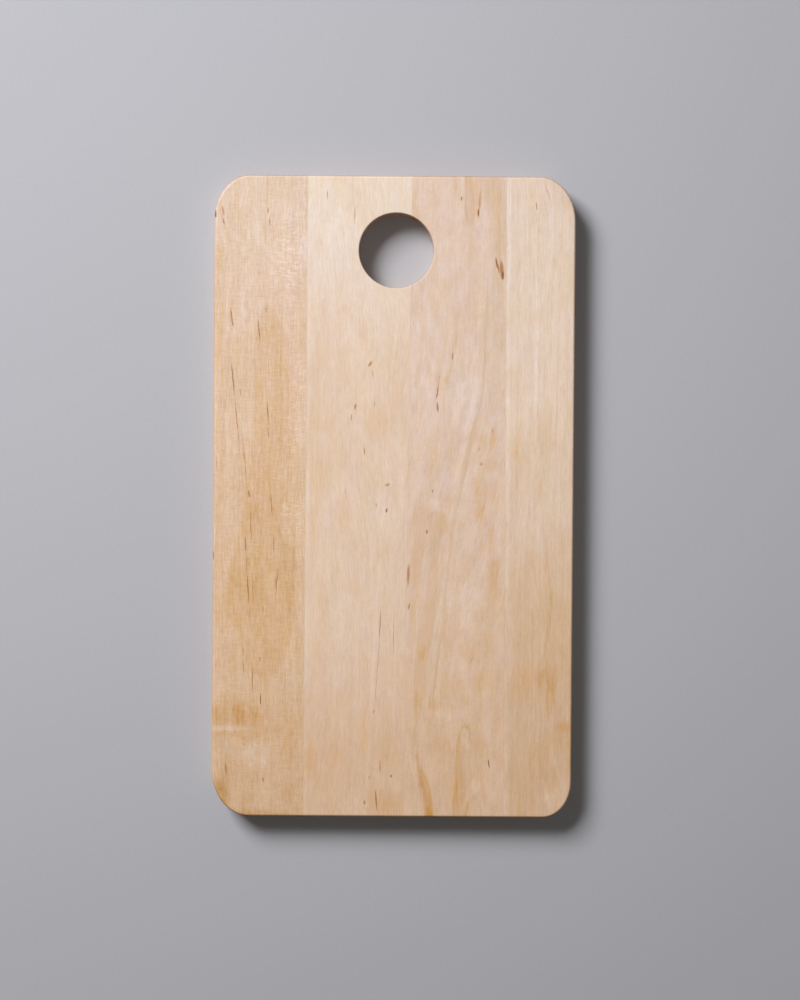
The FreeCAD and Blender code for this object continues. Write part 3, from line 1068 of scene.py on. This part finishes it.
def soften_rims(obj, radius):
    """Round both rims of the finger hole."""

    def on_rim(at):
        level = min(abs(at.z - LOW.z), abs(at.z - HIGH.z)) < TINY
        return level and abs((at.xy - HOLE_AXIS).length - HOLE_RADIUS) < TINY

    select_edges(obj, lambda a, b: on_rim(a) and on_rim(b))
    bevel_edges(radius, RIM_SEGMENTS)


def add_panel(sizes):
    """The whole glued-up panel, cut to outline, bored and softened, before it is told apart."""
    deselect_all()
    bpy.ops.mesh.primitive_cube_add(size=1.0, location=CENTRE, scale=EXTENT)
    bpy.ops.object.transform_apply(location=True, rotation=True, scale=True)
    panel = bpy.context.object
    panel.name = "panel"
    bpy.ops.object.mode_set(mode="EDIT")
    for name, side, end in CORNERS:
        round_corner(panel, getattr(sizes, name), side, end)
    soften_outline(panel, sizes.outline_round)
    bore_hole(panel)
    soften_rims(panel, sizes.rim_round)
    bpy.ops.object.mode_set(mode="OBJECT")
    return panel


def joint_face(glue_line, leans, side):
    """A point on one side of a glue line (-1 is its left, 1 its right) and a normal to the right."""
    low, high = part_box(glue_line)
    slant = (high.x - low.x) - GLUE_THICKNESS
    middle = (low.x + high.x) / 2 + side * GLUE_THICKNESS / 2
    along = Vector((leans * slant, EXTENT.y, 0.0)).normalized()
    return Vector((middle, CENTRE.y, CENTRE.z)), Vector((along.y, -along.x, 0.0))


def add_stave(panel, name, left, right):
    """Cut one stave out of a copy of the panel. left and right are joint faces, or None."""
    deselect_all()
    panel.select_set(True)
    bpy.context.view_layer.objects.active = panel
    bpy.ops.object.duplicate()
    stave = bpy.context.object
    stave.name = f"{name}_sanded"
    stave.data.name = stave.name
    bpy.ops.object.mode_set(mode="EDIT")
    for face, cut_away in ((left, "clear_inner"), (right, "clear_outer")):
        if face is None:
            continue
        bpy.ops.mesh.select_all(action="SELECT")
        bpy.ops.mesh.bisect(plane_co=face[0], plane_no=face[1], use_fill=True, **{cut_away: True})
    bpy.ops.mesh.select_all(action="SELECT")
    bpy.ops.mesh.remove_doubles(threshold=TINY * 0.1)
    bpy.ops.mesh.normals_make_consistent(inside=False)
    bpy.ops.object.mode_set(mode="OBJECT")
    bpy.ops.object.shade_smooth_by_angle(angle=SMOOTH_ANGLE)
    bpy.ops.object.modifier_add(type="WEIGHTED_NORMAL")
    weighted = stave.modifiers[-1]
    weighted.keep_sharp = True
    bpy.ops.object.modifier_apply(modifier=weighted.name)
    return stave


class BOARD_OT_staves(bpy.types.Operator):
    """Cut the four staves from one softened panel and give each its wood"""

    bl_idname = "board.staves"
    bl_label = "Staves"

    def execute(self, context):
        scene = context.scene
        woods = (
            ("honey", HONEY_FIGURE, HONEY_FLECKS, HONEY_PATCHES, HONEY_STREAKS, HONEY_GLINTS),
            ("cream", CREAM_FIGURE, CREAM_FLECKS, CREAM_PATCHES, CREAM_STREAKS, ()),
            ("rose", ROSE_FIGURE, ROSE_FLECKS, ROSE_PATCHES, ROSE_STREAKS, ()),
            ("pale", PALE_FIGURE, PALE_FLECKS, PALE_PATCHES, PALE_STREAKS, ()),
        )
        panel = add_panel(scene.board_sizes)
        lefts = [None] + [joint_face(name, leans, 1) for name, leans in GLUE_LINES]
        rights = [joint_face(name, leans, -1) for name, leans in GLUE_LINES] + [None]
        for name, left, right, (tones, *recipe) in zip(STAVES, lefts, rights, woods):
            stave = add_stave(panel, name, left, right)
            slot = f"{tones}_wood"
            stave.data.materials.append(wood(slot, tones, *recipe, scene.board_colours))
            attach(stave, "root")
            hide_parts(name)
        bpy.data.objects.remove(panel)
        return {"FINISHED"}


class BOARD_OT_glue_lines(bpy.types.Operator):
    """Give the glue between the staves its cured finish"""

    bl_idname = "board.glue_lines"
    bl_label = "Glue lines"

    def execute(self, context):
        cured = glue_finish(context.scene.board_colours.glue)
        for name, _ in GLUE_LINES:
            line = frame["nodes"][name]
            line.data.materials.clear()
            line.data.materials.append(cured)
        return {"FINISHED"}


# ---- Stage -----------------------------------------------------------------


def floor_finish(tone):
    """A plain matt surface."""
    finish = Finish("floor")
    cloud = finish.noise(finish.vector(finish.across, finish.up, finish.height), FLOOR_CLOUD)
    skin = finish.tint((cloud + 0.5).ease(0.2, 0.8), (*tone, 1.0), FLOOR_TINT)
    surface = finish.node(
        "ShaderNodeBsdfPrincipled",
        inputs={"Base Color": skin, "Roughness": 0.85, "Specular IOR Level": 0.15},
    )
    return finish.finish(surface.outputs[0])


def set_world(fill, backdrop):
    """Even fill light, which the camera sees as a backdrop of the floor's own tone."""
    world = bpy.data.worlds.new("studio")
    world.use_nodes = True
    nodes, links = world.node_tree.nodes, world.node_tree.links
    nodes.clear()
    path = nodes.new("ShaderNodeLightPath")
    lit = nodes.new("ShaderNodeBackground")
    lit.inputs["Color"].default_value = (*fill, 1.0)
    seen = nodes.new("ShaderNodeBackground")
    seen.inputs["Color"].default_value = (*backdrop, 1.0)
    mix = nodes.new("ShaderNodeMixShader")
    output = nodes.new("ShaderNodeOutputWorld")
    links.new(path.outputs["Is Camera Ray"], mix.inputs[0])
    links.new(lit.outputs[0], mix.inputs[1])
    links.new(seen.outputs[0], mix.inputs[2])
    links.new(mix.outputs[0], output.inputs["Surface"])
    bpy.context.scene.world = world


def add_lamp(name, place, size, power):
    """Hang a square lamp that shines at the board and that the camera doesn't see."""
    bpy.ops.object.light_add(type="AREA", location=place)
    lamp = bpy.context.object
    lamp.name = name
    lamp.data.shape = "SQUARE"
    lamp.data.size = size
    lamp.data.energy = power
    lamp.rotation_euler = (CENTRE - lamp.location).to_track_quat("-Z", "Y").to_euler()
    lamp.visible_camera = False


def add_top_lamp(stage):
    """Hang a lamp straight above, whose light fades towards the floor's corners."""
    bpy.ops.object.light_add(type="SPOT", location=stage.top_place)
    lamp = bpy.context.object
    lamp.name = "top_lamp"
    lamp.data.energy = stage.top_power
    lamp.data.spot_size = stage.top_angle
    lamp.data.spot_blend = 1.0
    lamp.data.shadow_soft_size = stage.top_radius
    lamp.visible_camera = False


class BOARD_OT_stage(bpy.types.Operator):
    """Lay the floor, hang the three lamps and set the camera over the board"""

    bl_idname = "board.stage"
    bl_label = "Stage"

    def execute(self, context):
        scene = context.scene
        stage = scene.board_stage
        deselect_all()
        bpy.ops.mesh.primitive_plane_add(size=FLOOR_SIDE, location=(CENTRE.x, CENTRE.y, LOW.z))
        floor = bpy.context.object
        floor.name = "floor"
        floor.data.materials.append(floor_finish(stage.floor))

        add_lamp("soft_lamp", stage.lamp_place, stage.lamp_size, stage.lamp_power)
        add_lamp("side_lamp", stage.side_place, stage.side_size, stage.side_power)
        add_top_lamp(stage)

        bpy.ops.object.camera_add(location=stage.camera_place, rotation=stage.camera_turn)
        camera = bpy.context.object
        camera.data.lens = stage.camera_lens
        scene.camera = camera

        set_world(stage.fill, stage.floor)
        scene.view_settings.view_transform = "Standard"
        return {"FINISHED"}


class BOARD_PT_builder(bpy.types.Panel):
    """Sizes, colours and one button for each step"""

    bl_label = "Cutting board"
    bl_idname = "BOARD_PT_builder"
    bl_space_type = "VIEW_3D"
    bl_region_type = "UI"
    bl_category = "Board"

    def draw(self, context):
        layout = self.layout
        for operator in OPERATORS:
            layout.operator(operator.bl_idname)
        for group in (context.scene.board_sizes, context.scene.board_colours, context.scene.board_stage):
            column = layout.column()
            for name in group.__annotations__:
                column.prop(group, name)


OPERATORS = (BOARD_OT_staves, BOARD_OT_glue_lines, BOARD_OT_stage)
CLASSES = (BoardSizes, WoodColours, StageSettings, *OPERATORS, BOARD_PT_builder)


def register():
    """Register the classes and hang the settings on the scene."""
    for cls in CLASSES:
        bpy.utils.register_class(cls)
    bpy.types.Scene.board_sizes = PointerProperty(type=BoardSizes)
    bpy.types.Scene.board_colours = PointerProperty(type=WoodColours)
    bpy.types.Scene.board_stage = PointerProperty(type=StageSettings)


def unregister():
    """Take the settings and the classes away again."""
    del bpy.types.Scene.board_stage
    del bpy.types.Scene.board_colours
    del bpy.types.Scene.board_sizes
    for cls in reversed(CLASSES):
        bpy.utils.unregister_class(cls)


def main():
    """Build the board and its stage."""
    register()
    bpy.ops.board.staves()
    bpy.ops.board.glue_lines()
    bpy.ops.board.stage()


if __name__ == "__main__":
    main()
